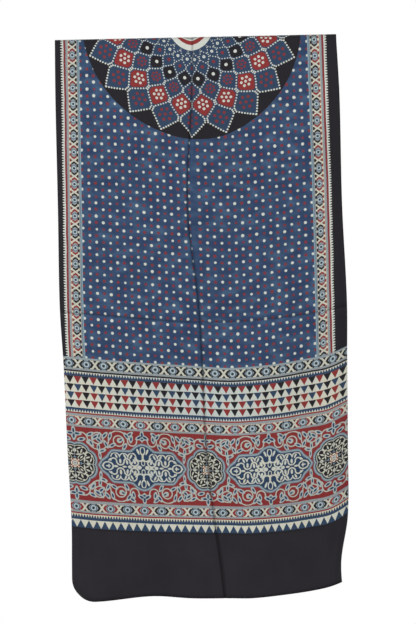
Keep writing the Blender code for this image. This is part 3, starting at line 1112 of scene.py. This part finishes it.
OUTLINE_HIGH = 80.0


def oval_reach(g, spot, row):
    """How far out from an oval's middle a place is, as a share of the oval's own size."""
    inputs = {
        "Vector": spot,
        "Location": (row.x, row.y, 0),
        "Rotation": (0, 0, math.radians(row.turn)),
        "Scale": (row.long, row.wide, 1),
    }
    local = g.add("ShaderNodeMapping", {"vector_type": "TEXTURE"}, inputs)
    return g.reach(local)


def ovals(g, spot, rows, start):
    """The nearest edge of any of a table's ovals, in millimetres, less than 0 inside one."""
    for row in rows:
        start = g.least(start, (oval_reach(g, spot, row) - 1) * row.wide)
    return start


def loops(g, spot, rows, start):
    for row in rows:
        start = g.least(start, abs((oval_reach(g, spot, row) - 1) * row.wide) - row.line)
    return start


def rings(g, spot, rows, start):
    _, y = g.split(spot)
    for row in rows:
        edge = abs(g.distance(spot, row.x, row.y) - row.radius) - row.line
        if row.half:
            edge = g.most(edge, (y - row.y) * -row.half)
        start = g.least(start, edge)
    return start


def cartouche_edge(g, x, y):
    """How far outside the cartouche's outline a place is, in millimetres."""
    points = [(a / HALF_REPEAT, (b - OUTLINE_LOW) / OUTLINE_HIGH) for a, b in CARTOUCHE_OUTLINE]
    here = g.curve(x / HALF_REPEAT, points) * OUTLINE_HIGH
    ahead = g.curve(x / HALF_REPEAT + 1 / HALF_REPEAT, points) * OUTLINE_HIGH
    slope = ahead - here
    return (y - OUTLINE_LOW - here) / (1 + slope * slope) ** 0.5


def rimmed(g, colour, edge, rim, ground):
    """A pale blue shape with a thin paler line inside its edge, and its ground inside that."""
    colour = g.dye(colour, OUTLINE_BLUE, edge)
    colour = g.dye(colour, PALE_LEAF, abs(edge + rim.line) - RIM_LINE)
    return g.dye(colour, ground, edge + rim.ground)


def band_zone():
    g = Print("silk_red_band")
    g.soft = BAND_SOFT
    left = g.least(g.most(g.across / -REPEAT, 0.0), 1.0)
    across = g.across - left * (1 - left) * LEFT_STRETCH
    out = abs(across - g.nearest(across / REPEAT) * REPEAT) * 1000
    off = abs(g.along - BAND_MIDDLE) * 1000
    spot = g.point(out, off)
    from_cartouche = HALF_REPEAT - out
    cartouche_spot = g.point(from_cartouche, off)

    # Vines and leaves on the red ground
    vines = rings(g, spot, VINE_RINGS, g.length(out - NOWHERE, off))
    leaves = ovals(g, spot, VINE_LEAVES, g.length(out - NOWHERE, off))
    colour = g.mix(MADDER, DEEP_MADDER, g.noise(g.place, 60.0, 2.0))
    within = g.inside(off - (BAND_HALF - VINE_MARGIN))
    colour = g.mix(colour, VINE, g.inside(vines - VINE_SPREAD) * within)
    colour = g.dye(colour, PALE_LEAF, leaves - LEAF_SPREAD)
    colour = g.dye(colour, INDIGO, leaves + LEAF_HEART)

    # The pointed cartouche
    edge = cartouche_edge(g, from_cartouche, off)
    colour = rimmed(g, colour, edge, CARTOUCHE_RIM, NAVY)
    lace = rings(g, cartouche_spot, CARTOUCHE_RINGS, g.length(out + NOWHERE, off))
    lace = loops(g, cartouche_spot, CARTOUCHE_LOOPS, lace)
    lace = ovals(g, cartouche_spot, CARTOUCHE_OVALS, lace)
    resist = g.mix(CREAM, PALE_DOT, g.noise(g.place, 45.0, 2.0))
    kept_in = g.inside(edge + CARTOUCHE_RIM.lace)
    colour = g.mix(colour, resist, g.inside(lace) * kept_in)

    # The round medallion with its lobes
    far = g.length(out, off)
    angle = g.maths("ARCTAN2", off, out)
    lobes = ROUND_RADIUS + abs(g.sine(angle * (LOBES / 2))) ** LOBE_FULL * LOBE_DEEP
    edge = far - lobes
    colour = rimmed(g, colour, edge, ROUND_RIM, IRON_BLACK)
    eighth = g.point(g.most(out, off), g.least(out, off))
    lace = loops(g, eighth, ROUND_LOOPS, abs(edge + LACE_RING) - LACE_RING_HALF)
    lace = ovals(g, eighth, ROUND_OVALS, lace) + ROUND_DRAWN_IN
    kept_in = g.inside(edge + ROUND_RIM.lace)
    colour = g.mix(colour, RESIST, g.inside(lace) * kept_in)
    cross = g.inside(g.least(out, off) - CROSS_HALF)
    colour = g.mix(colour, GREY, cross * g.inside(edge + CROSS_END))
    diamonds = abs(abs(out - off) - DIAMOND_MIDDLE) + g.least(out, off) - DIAMOND_HALF
    colour = g.dye(colour, PALE_BLUE, diamonds)
    colour = g.dye(colour, INDIGO, diamonds + DIAMOND_EDGE)
    square = g.most(out, off)
    colour = g.dye(colour, IRON_BLACK, square - SQUARE_EDGE)
    check = g.remainder(g.floor(out / CHECK) + g.floor(off / CHECK), 2.0)
    colour = g.dye(colour, g.mix(CREAM, MADDER, check), square - SQUARE)
    colour = g.dye(colour, PALE_LEAF, far - MIDDLE_DISC)
    colour = g.dye(colour, MADDER, far - MIDDLE_DOT)
    colour = g.dye(colour, GREY, BAND_HALF - off)
    return g.cloth(colour)


LOWER_LINES = (
    Line(0.9300, 0.9388, GREY),
    Line(0.9540, 0.9575, GREY),
    Line(0.9572, 0.9600, MADDER),
    Line(0.9600, 0.9668, CREAM),
    Line(0.9662, 0.9708, STRIP_BLUE),
)
LOWER_CHAIN = Chain(0.9464, 0.9385, 0.9545, 8.0, 41.0, True)
LOWER_TEETH = (Teeth(0.9665, 5.4, 0.9602, 0.9668, -1),)
BIG_TRIANGLE = 15.6 * MM
BIG_TRIANGLE_TALL = 14.4 * MM
BIG_TRIANGLE_TOP = 0.9712
BIG_TRIANGLE_TRUE = 0.5
PANEL_EDGE = 0.9858
# How much wider the big triangles and the chain run on the right, and the chain near the edge
BIG_TRIANGLE_STRETCH = 0.05
LOWER_CHAIN_STRETCH = 0.02
EDGE_STRETCH, EDGE_STRETCH_FROM = 0.04, 0.15


def lower_zone():
    g = Print("silk_lower_strips")
    across, right = past_crease(g, TUCKED_LOW), g.most(g.across, 0.0)
    tip = g.bounce(across + right * BIG_TRIANGLE_STRETCH, BIG_TRIANGLE / 2) * 2 / BIG_TRIANGLE
    big = g.along - BIG_TRIANGLE_TOP - tip * BIG_TRIANGLE_TALL
    big = g.inside(big * BIG_TRIANGLE_TRUE)
    colour = g.mix(STRIP_BLUE, strip_ground(g), big)
    colour = g.dye(colour, IRON_BLACK, PANEL_EDGE - g.along)
    wider = right * LOWER_CHAIN_STRETCH + g.most(right - EDGE_STRETCH_FROM, 0.0) * EDGE_STRETCH
    colour = chain_strip(g, colour, LOWER_CHAIN, across + wider)
    colour = lay_lines(g, colour, LOWER_LINES, g.along)
    colour = tooth_rows(g, colour, LOWER_TEETH)
    return g.cloth(colour)


def panel_zone():
    g = Print("silk_end_panel")
    cloudy = g.noise(g.place, 14.0, 3.0)
    return g.cloth(g.mix(IRON_BLACK, WORN_BLACK, cloudy))


def new_object(name, data):
    made = bpy.data.objects.new(name, data)
    bpy.context.scene.collection.objects.link(made)
    return made


def hang_stole():
    """The whole stole, in place of the solid."""
    mesh = stole_mesh()
    for zone in (medallion_zone, field_zone, upper_zone, band_zone, lower_zone, panel_zone):
        mesh.materials.append(zone())
    stole = new_object("printed_silk", mesh)
    thicken = stole.modifiers.new("silk_thickness", "SOLIDIFY")
    thicken.thickness = SILK
    thicken.offset = 0
    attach(stole, "root")
    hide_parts("cloth")


# The studio: floor, lights and camera
FLOOR_BELOW = 1.26
FLOOR_REACH = 3.0
FLOOR_SIDES = 96
FLOOR_FADES, FLOOR_FADED = 0.35, 1.8
FLOOR_COLOUR = (0.92, 0.92, 0.92, 1)
FLOOR_ROUGH = 0.8
PURE_WHITE = (1, 1, 1, 1)
STUDIO_WHITE = 1.0
SOFT_LIGHT = 0.45


def pale_floor():
    """A pale disc that fades into the white surround."""
    mesh = bpy.data.meshes.new("pale_floor")
    turns = [math.tau * n / FLOOR_SIDES for n in range(FLOOR_SIDES)]
    ring = [(FLOOR_REACH * math.cos(turn), FLOOR_REACH * math.sin(turn), 0) for turn in turns]
    mesh.from_pydata(ring, [], [tuple(range(FLOOR_SIDES))])
    floor = new_object("pale_floor", mesh)
    floor.location.z = -FLOOR_BELOW
    floor.visible_diffuse = False
    floor.visible_glossy = False
    material = bpy.data.materials.new("pale_floor")
    g = Graph(material)
    shader = g.tree.nodes["Principled BSDF"]
    shader.inputs["Base Color"].default_value = FLOOR_COLOUR
    shader.inputs["Roughness"].default_value = FLOOR_ROUGH
    where = g.add("ShaderNodeTexCoord", {}, {}, "Object")
    inputs = {"Value": g.reach(where), "From Min": FLOOR_FADES, "From Max": FLOOR_FADED}
    fade = g.add("ShaderNodeMapRange", {"interpolation_type": "SMOOTHSTEP"}, inputs)
    glow = g.add("ShaderNodeEmission", {}, {"Color": PURE_WHITE, "Strength": STUDIO_WHITE})
    parts = {0: fade, 1: Value(g, shader.outputs[0]), 2: glow}
    both = g.add("ShaderNodeMixShader", {}, parts)
    g.tree.links.new(both.socket, g.tree.nodes["Material Output"].inputs["Surface"])
    mesh.materials.append(material)


def studio_air():
    """A white surround that lights softly and shows as plain white."""
    world = bpy.data.worlds.new("studio_air")
    g = Graph(world)
    g.tree.nodes.clear()
    by_camera = g.add("ShaderNodeLightPath", {}, {}, "Is Camera Ray")
    soft, seen = (
        g.add("ShaderNodeBackground", {}, {"Color": PURE_WHITE, "Strength": strength})
        for strength in (SOFT_LIGHT, STUDIO_WHITE)
    )
    both = g.add("ShaderNodeMixShader", {}, {0: by_camera, 1: soft, 2: seen})
    out = g.tree.nodes.new("ShaderNodeOutputWorld")
    g.tree.links.new(both.socket, out.inputs["Surface"])
    bpy.context.scene.world = world


Lamp = namedtuple("Lamp", "name place aim wide high power")
LAMPS = (
    Lamp("front_left_light", (-2.4, -2.6, 0.7), (0.0, 0.0, -0.55), 1.8, 1.8, 72.0),
    Lamp("front_right_light", (2.2, -2.9, 0.2), (0.0, 0.0, -0.60), 2.0, 2.0, 36.0),
    Lamp("back_light", (0.6, 3.0, 0.6), (0.0, 0.0, -0.55), 2.4, 2.4, 70.0),
)


def lights():
    for lamp in LAMPS:
        light = bpy.data.lights.new(lamp.name, "AREA")
        light.shape = "RECTANGLE"
        light.size, light.size_y, light.energy = lamp.wide, lamp.high, lamp.power
        made = new_object(lamp.name, light)
        made.location = lamp.place
        toward = Vector(lamp.aim) - Vector(lamp.place)
        made.rotation_euler = toward.to_track_quat("-Z", "Y").to_euler()
        made.visible_camera = False


# What the picture covers: its middle on the cloth's front, and its height there
VIEW_MIDDLE = (0.01346, -FOLD_RADIUS, -0.5376)
VIEW_HIGH = 1.2189
VIEW_DISTANCE = 8.0
VIEW_ROLL = math.radians(1.22)
SENSOR = 36.0


def camera():
    lens = bpy.data.cameras.new("photo_camera")
    lens.sensor_fit = "VERTICAL"
    lens.sensor_height = SENSOR
    lens.lens = SENSOR * VIEW_DISTANCE / VIEW_HIGH
    made = new_object("photo_camera", lens)
    middle = Vector(VIEW_MIDDLE)
    level = Matrix.Rotation(math.pi / 2, 4, "X")
    roll = Matrix.Rotation(-VIEW_ROLL, 4, "Z")
    made.matrix_world = Matrix.Translation(middle - Vector((0, VIEW_DISTANCE, 0))) @ level @ roll
    bpy.context.scene.camera = made
    bpy.context.scene.view_settings.view_transform = "Standard"


camera()
studio_air()
lights()
pale_floor()
hang_stole()
